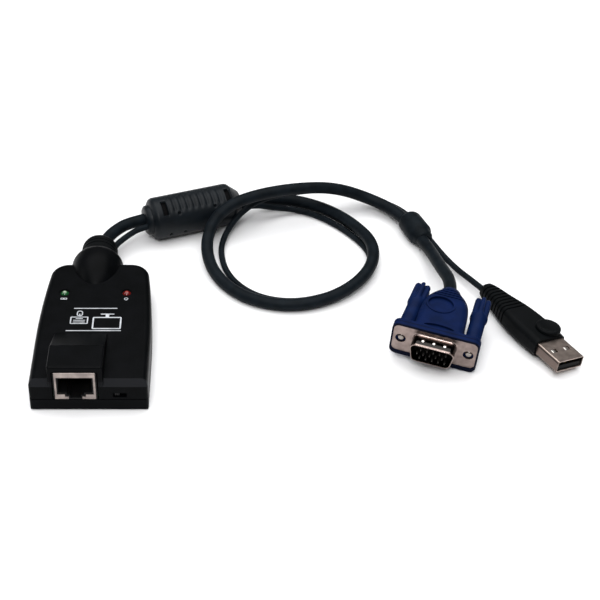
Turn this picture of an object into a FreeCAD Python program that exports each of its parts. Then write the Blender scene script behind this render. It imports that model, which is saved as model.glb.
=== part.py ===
"""Computer interface module of a keyboard, video and mouse switch.

A moulded plastic module with a network socket at its front carries two bonded
cables at its back: a thick video cable and a thin USB cable. Both run through
a ferrite choke, make one loop, pass a moulded joiner and end in a video plug
and a USB plug. Millimetres. +Z is up, the socket looks along -Y, the cables
leave along +Y, and the origin is under the middle of the module on the surface
that everything lies on.
"""

import FreeCAD
import Part
import math
import os

Vector = FreeCAD.Vector
X_AXIS = Vector(1, 0, 0)
Y_AXIS = Vector(0, 1, 0)
Z_AXIS = Vector(0, 0, 1)

# ---- module case ------------------------------------------------------------
body_width = 41.8
body_back_width = 36.0
body_length = 70.0
straight_length = 24.0
body_height = 13.0
parting_height = 5.1
parting_groove = 0.3
wall = 1.8
floor_wall = 1.6
front_corner_radius = 1.1
back_corner_radius = 7.0
shoulder_radius = 2.6
bottom_edge_radius = 0.8
bevel_height = 2.3
bevel_depth = 2.1

hood_aside = 0.2
hood_side_room = 0.45
hood_headroom = 1.2
hood_wall = 1.3
hood_flat_short = 2.0
hood_slope_length = 15.0
hood_edge_radius = 0.7

# ---- strain relief at the back ----------------------------------------------
relief_offset = -1.5
relief_height = 8.4
hump_length = 14.0
hump_radius = 10.0
lobe_length = 5.2
lobe_straight = 1.6
lobe_end_radius = 8.4
lobe_wall = 3.6
relief_neck_radius = 5.4
relief_radius = 7.2
relief_length = 10.8
relief_flange_radius = 6.5
relief_flange = 2.6
relief_rib_height = 0.35
relief_rib_width = 0.9
relief_ribs = 3
relief_rib_pitch = 1.9

# ---- board, socket, lamps, switch, screws -----------------------------------
board_thickness = 1.6
board_gap = 0.4
board_back_room = 12.0
socket_offset = -4.5
shield_width = 15.9
shield_height = 12.1
shield_depth = 14.2
shield_sheet = 0.3
shield_proud = 0.2
shield_fit = 0.15
shield_opening_width = 12.9
shield_opening_height = 7.6
shield_opening_top = 2.2
latch_width = 7.4
latch_narrow = 4.8
latch_step = 1.0
cavity_width = 11.9
cavity_depth = 13.5
contact_count = 8
contact_pitch = 1.02
contact_size = 0.34
lamp_offset = 11.6
lamp_middle = -0.7
lamp_from_front = 51.0
lamp_radius = 1.5
lamp_fit = 0.1
lamp_flange_radius = 1.95
lamp_stand = 3.2
lamp_recess_radius = 2.1
lamp_recess_depth = 0.3
lamp_proud = 0.35
lead_size = 0.5
lead_spacing = 1.27
switch_offset = 11.0
switch_travel = 2.0
switch_window_height = 1.9
switch_window_margin = 0.65
switch_knob_width = 1.5
switch_knob_height = 1.2
switch_recess = 0.6
switch_fit = 0.15
switch_housing_depth = 3.4
switch_housing_wall = 0.7
knob_grooves = 2
knob_groove_width = 0.25
knob_groove_depth = 0.3
screw_front_inset = 4.5
screw_front_y = 23.5
screw_back_inset = 4.8
screw_back_room = 10.5
screw_shank_radius = 1.1
screw_head_radius = 2.1
screw_head_height = 1.3
screw_length = 8.0
screw_fit = 0.15
screw_recess = 1.7
post_radius = 2.5

# ---- cables -----------------------------------------------------------------
video_cable_radius = 2.4
usb_cable_radius = 1.2

# Each route starts in the module's strain relief and ends inside its plug. It
# lies on the surface, rises over the choke's shoulder, and crosses itself once.
video_route = [
    (-0.6, 33.5, 9.4),
    (-0.6, 44.2, 9.4),
    (3.2, 52.9, 9.2),
    (10.2, 60.6, 8.8),
    (56.0, 77.0, 8.6),
    (66.5, 81.9, 4.8),
    (78.0, 84.4, 2.6),
    (90.8, 77.3, 2.5),
    (100.4, 65.2, 3.6),
    (107.2, 49.0, 5.4),
    (104.6, 32.2, 5.2),
    (92.2, 18.9, 3.4),
    (74.2, 12.3, 2.5),
    (55.8, 17.2, 2.5),
    (43.8, 31.4, 2.5),
    (39.6, 47.0, 4.8),
    (42.2, 58.0, 10.0),
    (49.4, 62.8, 15.2),
    (61.0, 68.2, 16.6),
    (77.0, 72.8, 16.6),
    (93.2, 79.4, 12.4),
    (108.6, 81.6, 5.0),
    (119.6, 71.2, 4.9),
    (128.5, 47.4, 5.0),
    (131.6, 31.0, 9.0),
    (133.7, 13.1, 12.5),
    (130.6, 3.4, 11.65),
]
usb_route = [
    (2.9, 35.5, 7.0),
    (2.9, 44.2, 7.0),
    (7.8, 51.0, 7.6),
    (14.6, 57.3, 8.5),
    (57.6, 72.8, 8.6),
    (67.4, 76.9, 4.0),
    (77.4, 79.5, 1.4),
    (88.0, 73.7, 1.3),
    (98.4, 62.6, 1.3),
    (106.4, 48.4, 1.3),
    (103.2, 33.6, 1.3),
    (90.2, 22.4, 1.3),
    (74.0, 16.6, 1.3),
    (58.8, 20.6, 1.3),
    (48.6, 33.4, 1.3),
    (45.4, 49.2, 1.7),
    (47.8, 59.2, 4.2),
    (53.4, 66.0, 8.6),
    (62.0, 71.8, 12.0),
    (77.6, 76.6, 12.4),
    (93.6, 83.0, 9.0),
    (109.6, 85.6, 3.0),
    (123.2, 72.7, 4.2),
    (132.4, 47.6, 3.6),
    (138.4, 36.6, 2.6),
    (143.2, 27.6, 3.8),
    (149.2, 16.7, 4.6),
]

# ---- ferrite choke ----------------------------------------------------------
choke_start = Vector(17.7, 61.7, 8.7)
choke_heading = 19.7
choke_radius = 8.6
choke_length = 34.0
choke_edge_radius = 1.6
choke_neck_length = 2.8
choke_neck_radius = 6.2
choke_tip_length = 3.2
choke_tip_radius = 4.9
choke_grooves = 9
choke_groove_round = 1.3
choke_groove_depth = 0.45
choke_groove_low = 42.0
choke_groove_high = 104.0
choke_slot_inset = 4.8
choke_slot_end_inset = 2.4
choke_slot_width = 2.0
choke_slot_depth = 1.1
choke_slot_low = 39.0
choke_slot_high = 78.0
core_radius = 7.0
core_bore_radius = 4.7
core_length = 25.0
dimple_radius = 0.75
dimple_depth = 0.9
dimple_angle = 38.0

# ---- joiner -----------------------------------------------------------------
joiner_start = Vector(122.6, 69.0, 5.05)
joiner_heading = -69.6
joiner_radius = 5.0
joiner_length = 15.0
joiner_round = 1.6
joiner_collar_radius = 4.5
joiner_collar_length = 3.6
joiner_groove = 0.5

# ---- video plug -------------------------------------------------------------
video_plug_place = Vector(123.2, -19.25, 9.34)
video_plug_yaw = -18.0
video_plug_pitch = 5.5
video_plug_roll = 4.5
plate_width = 30.8
plate_height = 12.5
plate_thickness = 0.8
plate_corner = 2.0
dshell_width = 16.9
dshell_height = 8.3
dshell_length = 5.5
dshell_sheet = 0.4
dshell_slant = 10.0
dshell_corner = 2.2
dshell_root_radius = 0.8
dshell_lip_radius = 0.25
dimple_bump_radius = 1.1
dimple_bump_height = 0.3
dimple_bump_spacing = 4.0
pin_columns = 5
pin_column_pitch = 2.29
pin_row_pitch = 1.98
pin_radius = 0.38
pin_length = 5.0
pin_tail = 3.0
insulator_depth = 5.0
flange_rim = 0.9
flange_side = 0.65
flange_foot = 1.75
flange_length = 3.4
flange_proud = 0.2
flange_corner = 2.6
hood_half_width = 8.9
hood_half_height = 6.2
hood_body_length = 28.5
hood_neck_radius = 3.9
hood_grooves = 4
hood_groove_width = 0.55
hood_groove_depth = 0.4
hood_groove_pitch = 1.5
pad_width = 9.4
pad_length = 7.6
pad_from_plate = 15.8
pad_aside = 1.8
pad_depth = 0.7
pad_rim = 0.7
pad_rim_height = 0.35
step_width = 11.2
step_length = 3.0
step_depth = 0.9
jackscrew_spacing = 25.0
jackscrew_radius = 1.42
jackscrew_fit = 0.06
left_screw_lean = 4.0
jackscrew_tip_radius = 0.9
jackscrew_cover = 4.0
plate_hole_radius = 1.95
grip_radius = 2.9
grip_gap = 0.3
grip_length = 25.4
knob_radius = 3.3
knob_length = 10.0
knob_flutes = 6
flute_radius = 1.2
flute_depth = 1.0
scallop_gap = 0.35

# ---- USB plug ---------------------------------------------------------------
usb_plug_place = Vector(172.1, -23.6, 4.75)
usb_plug_yaw = 29.0
usb_plug_roll = 9.0
usb_shell_width = 12.0
usb_shell_height = 4.5
usb_shell_sheet = 0.3
usb_shell_exposed = 12.0
usb_shell_buried = 6.0
usb_window_width = 2.5
usb_window_length = 2.0
usb_window_from_tip = 5.2
usb_window_spacing = 5.8
tongue_thickness = 1.9
tongue_recess = 0.6
usb_contact_inner = 1.0
usb_contact_outer = 3.5
usb_contact_width = 1.2
usb_contact_thickness = 0.25
usb_body_length = 38.4
usb_body_width = 13.8
usb_body_height = 7.6
usb_front_height = 6.7
usb_tail_width = 5.8
usb_tail_height = 5.4
usb_body_corner = 2.3
usb_grooves = 9
usb_groove_pitch = 1.9
usb_groove_width = 0.7
usb_groove_depth = 0.45
usb_pad_radius = 4.7
usb_pad_height = 1.3
usb_pad_back = 4.9
usb_pad_aside = 2.3
usb_pad_dish = 0.5
usb_pad_rim = 0.9

# ---- worked out from the values above ---------------------------------------
overall_length = shield_proud + body_length + lobe_length + relief_length
front = -overall_length / 2 + shield_proud
back = front + body_length
lobe_end = back + lobe_length
relief_end = lobe_end + relief_length
board_top = parting_height
board_bottom = board_top - board_thickness
board_length = body_length - board_back_room
half_spacing = jackscrew_spacing / 2
hood_offset = socket_offset + hood_aside
hood_width = shield_width + 2 * (hood_wall + hood_side_room)
hood_height = board_top + shield_height + hood_headroom + hood_wall
hood_flat = shield_depth - shield_proud - hood_flat_short
hood_length = hood_flat + hood_slope_length
screw_front_x = body_width / 2 - screw_front_inset
screw_back_x = body_back_width / 2 - screw_back_inset
screw_back_y = body_length - screw_back_room

sharp = 0.01
long_way = 400.0


# ---- shape helpers ----------------------------------------------------------
def block(x0, x1, y0, y1, z0, z1):
    """Box between two opposite corners."""
    return Part.makeBox(x1 - x0, y1 - y0, z1 - z0, Vector(x0, y0, z0))


def rod(radius, length, start, direction):
    """Cylinder from a start point along a direction."""
    return Part.makeCylinder(radius, length, start, direction)


def prism(points, normal_shift):
    """Closed outline of corner points, pushed along a vector."""
    wire = Part.makePolygon(points + [points[0]])
    return Part.Face(wire).extrude(normal_shift)


def revolved(profile, start=Vector(0, 0, 0)):
    """Solid turned about the Y axis through start, from (radius, y) corners."""
    corners = [start + Vector(radius, y, 0) for radius, y in profile]
    wire = Part.makePolygon(corners + [corners[0]])
    return Part.Face(wire).revolve(start, Y_AXIS, 360)


def round_over(wide, wide_place, narrow, narrow_place):
    """Arc of a turned profile that runs along the axis where it is wide."""
    drop = wide - narrow
    reach = narrow_place - wide_place
    bend = (drop ** 2 + reach ** 2) / (2 * drop)
    middle = wide - bend + math.sqrt(bend ** 2 - (reach / 2) ** 2)
    between = Vector(middle, (wide_place + narrow_place) / 2, 0)
    return Part.Arc(Vector(wide, wide_place, 0), between, Vector(narrow, narrow_place, 0)).toShape()


def oval_post(width, length, x, y, z0, z1):
    """Upright post with an oval section."""
    post = Part.makeCylinder(1, z1 - z0, Vector(0, 0, 0), Z_AXIS)
    stretch = FreeCAD.Matrix()
    stretch.scale(width / 2, length / 2, 1)
    post = post.transformGeometry(stretch)
    post.translate(Vector(x, y, z0))
    return post


def sector(low, high, reach, y0, y1):
    """Wedge about the Y axis between two angles that start at +X."""
    count = 6
    corners = [Vector(0, y0, 0)]
    for index in range(count + 1):
        angle = math.radians(low + (high - low) * index / count)
        corners.append(Vector(reach * math.cos(angle), y0, reach * math.sin(angle)))
    return prism(corners, Vector(0, y1 - y0, 0))


def joined(shapes):
    """One shape out of several that touch or overlap."""
    return shapes[0].multiFuse(shapes[1:]).removeSplitter()


def edges_where(shape, test):
    """Edges whose bounding box passes a test."""
    return [edge for edge in shape.Edges if test(edge.BoundBox)]


def rounded_outline(half_width, half_height, corner, y):
    """Rounded rectangle across the Y axis, as four lines and four arcs."""
    w = half_width
    h = half_height
    c = corner
    k = c * (1 - math.sqrt(0.5))
    bottom = Part.LineSegment(Vector(-w + c, y, -h), Vector(w - c, y, -h))
    right = Part.LineSegment(Vector(w, y, -h + c), Vector(w, y, h - c))
    top = Part.LineSegment(Vector(w - c, y, h), Vector(-w + c, y, h))
    left = Part.LineSegment(Vector(-w, y, h - c), Vector(-w, y, -h + c))
    arcs = [
        Part.Arc(Vector(w - c, y, -h), Vector(w - k, y, -h + k), Vector(w, y, -h + c)),
        Part.Arc(Vector(w, y, h - c), Vector(w - k, y, h - k), Vector(w - c, y, h)),
        Part.Arc(Vector(-w + c, y, h), Vector(-w + k, y, h - k), Vector(-w, y, h - c)),
        Part.Arc(Vector(-w, y, -h + c), Vector(-w + k, y, -h + k), Vector(-w + c, y, -h)),
    ]
    order = [bottom, arcs[0], right, arcs[1], top, arcs[2], left, arcs[3]]
    return Part.Wire([piece.toShape() for piece in order])


def rounded_bar(half_width, half_height, corner, y0, y1):
    """Bar along Y with a rounded rectangle for its section."""
    wire = rounded_outline(half_width, half_height, corner, y0)
    return Part.Face(wire).extrude(Vector(0, y1 - y0, 0))


def cable(route, radius, name):
    """Round tube along straight runs joined by tangent arcs."""
    points = [Vector(*point) for point in route]
    edges = []
    radii = []
    reached = points[0]
    for before, here, after in zip(points, points[1:], points[2:]):
        run_in = here - before
        run_out = after - here
        shorter = min(run_in.Length, run_out.Length)
        turn = run_in.getAngle(run_out)
        tangent = 0.45 * shorter
        radii.append(tangent / math.tan(turn / 2))
        run_in.normalize()
        run_out.normalize()
        arc_start = here - run_in * tangent
        arc_end = here + run_out * tangent
        inward = run_out - run_in
        inward.normalize()
        sag = radii[-1] * (1 / math.cos(turn / 2) - 1)
        arc_middle = here + inward * sag
        edges.append(Part.LineSegment(reached, arc_start).toShape())
        edges.append(Part.Arc(arc_start, arc_middle, arc_end).toShape())
        reached = arc_end
    edges.append(Part.LineSegment(reached, points[-1]).toShape())
    path = Part.Wire(edges)
    heading = points[1] - points[0]
    section = Part.Wire([Part.Circle(points[0], heading, radius).toShape()])
    tube = path.makePipeShell([section], True, False)
    expected = math.pi * radius ** 2 * path.Length
    print(name, "length", round(path.Length, 1), "volume ratio", round(tube.Volume / expected, 4))
    print(name, "bend radii", [round(value, 1) for value in radii])
    return tube


def placed(shape, place, yaw, pitch, roll):
    """Shape turned by roll, pitch and yaw, then moved."""
    turn = FreeCAD.Rotation(Z_AXIS, yaw)
    turn = turn.multiply(FreeCAD.Rotation(X_AXIS, pitch))
    turn = turn.multiply(FreeCAD.Rotation(Y_AXIS, roll))
    result = shape.copy()
    result.Placement = FreeCAD.Placement(place, turn).multiply(shape.Placement)
    return result


def export(name, shape):
    """One STEP file for one piece."""
    solids = shape.Solids
    clean = solids[0] if len(solids) == 1 else Part.makeCompound(solids)
    clean.exportStep(os.path.join("parts", name + ".step"))
    print(name, len(solids), "solids", round(clean.Volume, 2), "mm3", clean.isValid())


# ---- module case ------------------------------------------------------------
def plan_outline():
    """Case seen from above: straight sides that curve in towards the back."""
    half = body_width / 2
    half_back = body_back_width / 2
    bend_start = front + straight_length
    reach = back - bend_start
    inset = half - half_back
    bend_radius = (reach ** 2 + inset ** 2) / (2 * inset)
    middle_reach = reach / 2
    middle_inset = bend_radius - math.sqrt(bend_radius ** 2 - middle_reach ** 2)
    middle = Vector(half - middle_inset, bend_start + middle_reach, 0)
    right_arc = Part.Arc(Vector(half, bend_start, 0), middle, Vector(half_back, back, 0))
    mirrored = Vector(-middle.x, middle.y, 0)
    left_arc = Part.Arc(Vector(-half_back, back, 0), mirrored, Vector(-half, bend_start, 0))
    order = [
        Part.LineSegment(Vector(-half, front, 0), Vector(half, front, 0)),
        Part.LineSegment(Vector(half, front, 0), Vector(half, bend_start, 0)),
        right_arc,
        Part.LineSegment(Vector(half_back, back, 0), Vector(-half_back, back, 0)),
        left_arc,
        Part.LineSegment(Vector(-half, bend_start, 0), Vector(-half, front, 0)),
    ]
    return Part.Wire([piece.toShape() for piece in order])


def case_block(inset, z0, z1, corner):
    """Upright block of the case's plan, drawn in by an inset."""
    face = Part.Face(plan_outline())
    if inset:
        face = face.makeOffset2D(-inset)
    face.translate(Vector(0, 0, z0))
    solid = face.extrude(Vector(0, 0, z1 - z0))
    tall = edges_where(solid, lambda b: b.ZLength > z1 - z0 - sharp)
    uprights = [edge for edge in tall if edge.BoundBox.YMin > back - wall * 2]
    return solid.makeFillet(corner, uprights)


def front_corner_cutter(side):
    """Cuts a front upright edge of the case to a small radius."""
    r = front_corner_radius
    x = side * body_width / 2
    x0, x1 = sorted((x, x - side * r))
    corner = block(x0, x1, front, front + r, -1, body_height + 1)
    core = rod(r, body_height + 4, Vector(x - side * r, front + r, -2), Z_AXIS)
    return corner.cut(core)


def hood_solid():
    """Raised cover over the socket: a wedge that is highest at the front."""
    x0 = hood_offset - hood_width / 2
    low = body_height - shoulder_radius
    corners = [
        Vector(x0, front, low),
        Vector(x0, front, hood_height),
        Vector(x0, front + hood_flat, hood_height),
        Vector(x0, front + hood_length, body_height),
        Vector(x0, front + hood_length, low),
    ]
    wedge = prism(corners, Vector(hood_width, 0, 0))
    ridge = edges_where(wedge, lambda b: b.ZMax > hood_height - sharp)
    return wedge.makeFillet(hood_edge_radius, ridge)


def outer_case():
    """The whole case as one filled block, before it is hollowed and split."""
    solid = case_block(0, 0, body_height, back_corner_radius)
    top = edges_where(
        solid, lambda b: b.ZMin > body_height - sharp and b.YMax > front + sharp
    )
    solid = solid.makeFillet(shoulder_radius, top)
    bottom = edges_where(solid, lambda b: b.ZMax < sharp)
    solid = solid.makeFillet(bottom_edge_radius, bottom)
    half = body_width / 2 + 1
    bevel = prism(
        [
            Vector(-half, front - 1, body_height - bevel_height - bevel_height / bevel_depth),
            Vector(-half, front - 1, body_height + 1),
            Vector(-half, front + bevel_depth + bevel_depth / bevel_height, body_height + 1),
        ],
        Vector(2 * half, 0, 0),
    )
    solid = solid.cut(bevel)
    solid = joined([solid, hood_solid(), hump_solid(0)])
    solid = solid.cut(front_corner_cutter(1))
    return solid.cut(front_corner_cutter(-1))


def hump_solid(thinner):
    """Round hump and lobe, cut flat by the surface that the case stands on."""
    flush = body_height - relief_height - thinner
    wide = hump_radius - thinner
    narrow = lobe_end_radius - thinner
    start = back - hump_length
    bend = back + lobe_straight
    end = lobe_end - thinner
    corners = [
        Vector(flush, start, 0),
        Vector(0, start - flush, 0),
        Vector(0, end, 0),
        Vector(narrow, end, 0),
    ]
    wire = Part.Wire([
        round_over(wide, back, flush, start),
        Part.makeLine(corners[0], corners[1]),
        Part.makeLine(corners[1], corners[2]),
        Part.makeLine(corners[2], corners[3]),
        round_over(wide, bend, narrow, end),
        Part.makeLine(Vector(wide, bend, 0), Vector(wide, back, 0)),
    ])
    turned = Part.Face(wire).revolve(Vector(0, 0, 0), Y_AXIS, 360)
    turned.translate(Vector(relief_offset, 0, relief_height))
    far = hump_radius + 1
    room = block(
        relief_offset - far, relief_offset + far, front, relief_end, 0, relief_height + far
    )
    return turned.common(room)


def screw_places():
    """Centres of the four case screws."""
    places = []
    for side in (-1, 1):
        places.append((side * screw_front_x, front + screw_front_y))
        places.append((side * screw_back_x, front + screw_back_y))
    return places


def case_cavity():
    """Room inside the case, with the posts for the screws left standing."""
    main = case_block(wall, floor_wall, body_height - wall, back_corner_radius - wall)
    x0 = hood_offset - hood_width / 2 + hood_wall
    x1 = hood_offset + hood_width / 2 - hood_wall
    low = body_height - wall - 1
    slope = (hood_height - body_height) / (hood_length - hood_flat)
    drop = hood_wall * math.sqrt(1 + slope ** 2)
    slope_run = (hood_height - drop - low) / slope
    hood_room = prism(
        [
            Vector(x0, front + wall, low),
            Vector(x0, front + wall, hood_height - hood_wall),
            Vector(x0, front + hood_flat - (drop - hood_wall) / slope, hood_height - hood_wall),
            Vector(x0, front + hood_flat + slope_run, low),
        ],
        Vector(x1 - x0, 0, 0),
    )
    hump_room = hump_solid(wall).common(
        block(-30, 30, front, lobe_end - lobe_wall, floor_wall, 40)
    )
    room = joined([main, hood_room, hump_room])
    for x, y in screw_places():
        lower_post = rod(post_radius, board_bottom, Vector(x, y, 0), Z_AXIS)
        upper_post = rod(post_radius, body_height - board_top, Vector(x, y, board_top), Z_AXIS)
        room = room.cut(lower_post).cut(upper_post)
    return room


def socket_passage():
    """Opening in the case front that hugs the network socket."""
    half = shield_width / 2 + shield_fit
    top = board_top + shield_height + shield_fit
    return block(
        socket_offset - half, socket_offset + half, front - 1, front + wall + 1, board_top, top
    )


def switch_window():
    """Slot in the case front that shows the slide switch."""
    half = (switch_travel + switch_knob_width) / 2 + switch_window_margin
    middle = switch_middle_height()
    low = middle - switch_window_height / 2
    high = middle + switch_window_height / 2
    return block(switch_offset - half, switch_offset + half, front - 1, front + wall + 1, low, high)


def switch_middle_height():
    """Height of the slide switch's knob above the surface."""
    return board_top + switch_housing_wall + switch_fit + switch_window_height / 2


def relief_bore():
    """Hole through the lobe's end wall for the strain relief's neck."""
    start = Vector(relief_offset, lobe_end - lobe_wall - 1, relief_height)
    return rod(relief_neck_radius, lobe_wall + 2, start, Y_AXIS)


def lamp_cutter(side):
    """Recess and hole in the case top for one lamp."""
    x = lamp_middle + side * lamp_offset
    y = front + lamp_from_front
    hole = rod(lamp_radius + lamp_fit, wall + 2, Vector(x, y, body_height - wall - 1), Z_AXIS)
    start = Vector(x, y, body_height - lamp_recess_depth)
    recess = Part.makeCone(lamp_recess_radius - 0.3, lamp_recess_radius + 0.3, 1.0, start, Z_AXIS)
    return hole.fuse(recess)


def screw_cutter(x, y):
    """Head recess, clearance hole and pilot hole for one case screw."""
    head = rod(screw_head_radius + screw_fit, screw_recess, Vector(x, y, 0), Z_AXIS)
    start = Vector(x, y, screw_recess)
    pilot = rod(screw_shank_radius, screw_length - screw_head_height + 0.6, start, Z_AXIS)
    through = rod(screw_shank_radius + screw_fit, board_top - screw_recess, start, Z_AXIS)
    return joined([head, pilot, through])


def lower_zone():
    """Everything that belongs to the lower cover when the case is split."""
    low = block(-40, 40, front - 2, relief_end, -1, parting_height)
    half = hump_radius + 0.6
    step = block(
        relief_offset - half, relief_offset + half, back - wall, relief_end, -1, relief_height
    )
    return low.fuse(step)


def make_case():
    """Upper and lower cover."""
    whole = outer_case()
    cutters = [case_cavity(), socket_passage(), switch_window(), relief_bore()]
    cutters += [lamp_cutter(side) for side in (-1, 1)]
    cutters += [screw_cutter(x, y) for x, y in screw_places()]
    for cutter in cutters:
        whole = whole.cut(cutter)
    zone = lower_zone()
    lower = whole.common(zone)
    upper = whole.cut(zone)
    rim_low = parting_height - parting_groove
    band = block(-40, 40, front - 2, back - wall, rim_low, parting_height + 1)
    inner = case_block(parting_groove, rim_low - 1, parting_height + 2, back_corner_radius)
    return upper, lower.cut(band.cut(inner))


# ---- pieces inside the case -------------------------------------------------
def make_board():
    """Circuit board, clear of the walls, with holes for the screws."""
    blank = case_block(wall + board_gap, board_bottom, board_top, 1.5)
    reach = front + wall + board_gap + board_length
    blank = blank.common(block(-40, 40, front, reach, 0, 20))
    for x, y in screw_places():
        hole = rod(screw_shank_radius + screw_fit, board_thickness, Vector(x, y, board_bottom), Z_AXIS)
        blank = blank.cut(hole)
    return blank


def socket_opening(width, height, depth, latch, narrow):
    """Plug-shaped hole: a rectangle with a stepped latch slot under it."""
    y = front - shield_proud - 1
    top = board_top + shield_height - shield_opening_top
    low = top - height
    half = width / 2
    main = block(socket_offset - half, socket_offset + half, y, y + depth, low, top)
    slot = block(socket_offset - latch / 2, socket_offset + latch / 2, y, y + depth, low - latch_step, low)
    way = block(socket_offset - narrow / 2, socket_offset + narrow / 2, y, y + depth, board_top + 0.6, low)
    return joined([main, slot, way])


def make_socket():
    """Metal shield, plastic body and contact wires of the network socket."""
    y0 = front - shield_proud
    x0 = socket_offset - shield_width / 2
    x1 = socket_offset + shield_width / 2
    top = board_top + shield_height
    t = shield_sheet
    can = block(x0, x1, y0, y0 + shield_depth, board_top, top)
    inside = block(x0 + t, x1 - t, y0 + t, y0 + shield_depth + 1, board_top - 1, top - t)
    face_hole = socket_opening(shield_opening_width, shield_opening_height, 3, latch_width, latch_narrow)
    tall_way = block(
        socket_offset - latch_narrow / 2, socket_offset + latch_narrow / 2, y0 - 1, y0 + 1,
        board_top - 1, board_top + 2
    )
    shield = can.cut(inside).cut(face_hole).cut(tall_way)
    body = block(x0 + t, x1 - t, y0 + t, y0 + shield_depth - 0.4, board_top, top - t)
    inner_height = shield_opening_height - 0.6
    cavity = socket_opening(
        cavity_width, inner_height, cavity_depth, latch_width - 1.2, latch_narrow - 0.8
    )
    ceiling = board_top + shield_height - shield_opening_top
    wires = []
    depth_end = y0 - 1 + cavity_depth
    for index in range(contact_count):
        x = socket_offset + (index - (contact_count - 1) / 2) * contact_pitch
        s = contact_size
        outline = [
            Vector(x - s / 2, depth_end - 9.0, ceiling),
            Vector(x - s / 2, depth_end - 10.6, ceiling),
            Vector(x - s / 2, depth_end - 10.6, ceiling - s),
            Vector(x - s / 2, depth_end - 9.2, ceiling - s),
            Vector(x - s / 2, depth_end - 2.4, ceiling - 2.2 - s),
            Vector(x - s / 2, depth_end - 2.2, ceiling - 2.2),
        ]
        wires.append(prism(outline, Vector(s, 0, 0)))
    return shield, body.cut(cavity), Part.makeCompound(wires)


def make_lamp(side):
    """Round lamp with a domed lens, a flange and two leads to the board."""
    x = lamp_middle + side * lamp_offset
    y = front + lamp_from_front
    base = board_top + lamp_stand
    tip = body_height + lamp_proud
    flange = rod(lamp_flange_radius, 0.9, Vector(x, y, base), Z_AXIS)
    barrel = rod(lamp_radius, tip - base - lamp_radius * 0.6, Vector(x, y, base), Z_AXIS)
    ball = Part.makeSphere(lamp_radius, Vector(x, y, tip - lamp_radius))
    lens = joined([flange, barrel, ball])
    leads = []
    for way in (-1, 1):
        middle = x + way * lead_spacing / 2
        half = lead_size / 2
        leads.append(block(middle - half, middle + half, y - half, y + half, board_top, base))
    return joined([lens] + leads)


def make_switch():
    """Housing and knob of the recessed slide switch, knob at its left end."""
    y0 = front + wall + 0.1
    middle = switch_middle_height()
    slot_half = switch_window_height / 2
    base_width = switch_knob_width + 1.2
    base_depth = 1.2
    room_half = (switch_travel + base_width) / 2 + switch_fit
    outer_half = room_half + switch_housing_wall
    housing = block(
        switch_offset - outer_half, switch_offset + outer_half, y0, y0 + switch_housing_depth,
        board_top, middle + slot_half + switch_housing_wall
    )
    lip = 0.5
    room_depth = base_depth + 2 * switch_fit
    room = block(
        switch_offset - room_half, switch_offset + room_half, y0 + lip, y0 + lip + room_depth,
        middle - slot_half, middle + slot_half
    )
    gate_half = (switch_travel + switch_knob_width) / 2 + switch_fit
    gate_height = switch_knob_height / 2 + switch_fit
    gate = block(
        switch_offset - gate_half, switch_offset + gate_half, y0 - 1, y0 + lip + 0.1,
        middle - gate_height, middle + gate_height
    )
    x = switch_offset - switch_travel / 2
    base = block(
        x - base_width / 2, x + base_width / 2, y0 + lip + switch_fit, y0 + lip + switch_fit + base_depth,
        middle - slot_half + switch_fit, middle + slot_half - switch_fit
    )
    stem = block(
        x - switch_knob_width / 2, x + switch_knob_width / 2, front + switch_recess, y0 + lip + switch_fit,
        middle - switch_knob_height / 2, middle + switch_knob_height / 2
    )
    knob = joined([base, stem])
    for index in range(knob_grooves):
        step = switch_knob_width / (knob_grooves + 1)
        groove = x - switch_knob_width / 2 + (index + 1) * step
        half = knob_groove_width / 2
        y = front + switch_recess
        knob = knob.cut(
            block(groove - half, groove + half, y - 1, y + knob_groove_depth, board_top, body_height)
        )
    return housing.cut(room).cut(gate), knob


def make_screws():
    """Four case screws, put in from below."""
    screws = []
    for x, y in screw_places():
        head_top = screw_recess
        head_bottom = screw_recess - screw_head_height
        head = rod(screw_head_radius, screw_head_height, Vector(x, y, head_bottom), Z_AXIS)
        rim = edges_where(head, lambda b: b.ZMax < head_bottom + sharp)
        head = head.makeFillet(0.4, rim)
        start = Vector(x, y, head_top)
        shank = rod(screw_shank_radius, screw_length - screw_head_height, start, Z_AXIS)
        drive = joined([
            block(x - 1.1, x + 1.1, y - 0.22, y + 0.22, head_bottom - 1, head_bottom + 0.7),
            block(x - 0.22, x + 0.22, y - 1.1, y + 1.1, head_bottom - 1, head_bottom + 0.7),
        ])
        screws.append(joined([head, shank]).cut(drive))
    return Part.makeCompound(screws)


def make_relief(tubes):
    """Rubber strain relief: flange inside the lobe, neck, ribbed sleeve."""
    flange_end = lobe_end - lobe_wall
    profile = [
        (0, flange_end - relief_flange),
        (relief_flange_radius, flange_end - relief_flange),
        (relief_flange_radius, flange_end),
        (relief_neck_radius, flange_end),
        (relief_neck_radius, lobe_end),
        (relief_radius, lobe_end),
        (relief_radius - 0.2, relief_end - 2.0),
        (relief_radius - 0.7, relief_end - 0.7),
        (relief_radius - 1.6, relief_end),
        (0, relief_end),
    ]
    start = Vector(relief_offset, 0, relief_height)
    body = revolved(profile, start)
    first = relief_end - 2.6 - (relief_ribs - 1) * relief_rib_pitch
    for index in range(relief_ribs):
        y = first + index * relief_rib_pitch
        ring = rod(relief_radius + 1, relief_rib_width, start + Vector(0, y, 0), Y_AXIS)
        keep = rod(relief_radius - relief_rib_height, relief_rib_width, start + Vector(0, y, 0), Y_AXIS)
        body = body.cut(ring.cut(keep))
    for tube in tubes:
        body = body.cut(tube)
    return body


# ---- pieces on the cables ---------------------------------------------------
def choke_frame(shape):
    """From the choke's own frame, along +Y, to its place."""
    return placed(shape, choke_start, choke_heading - 90, 0, 0)


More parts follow.
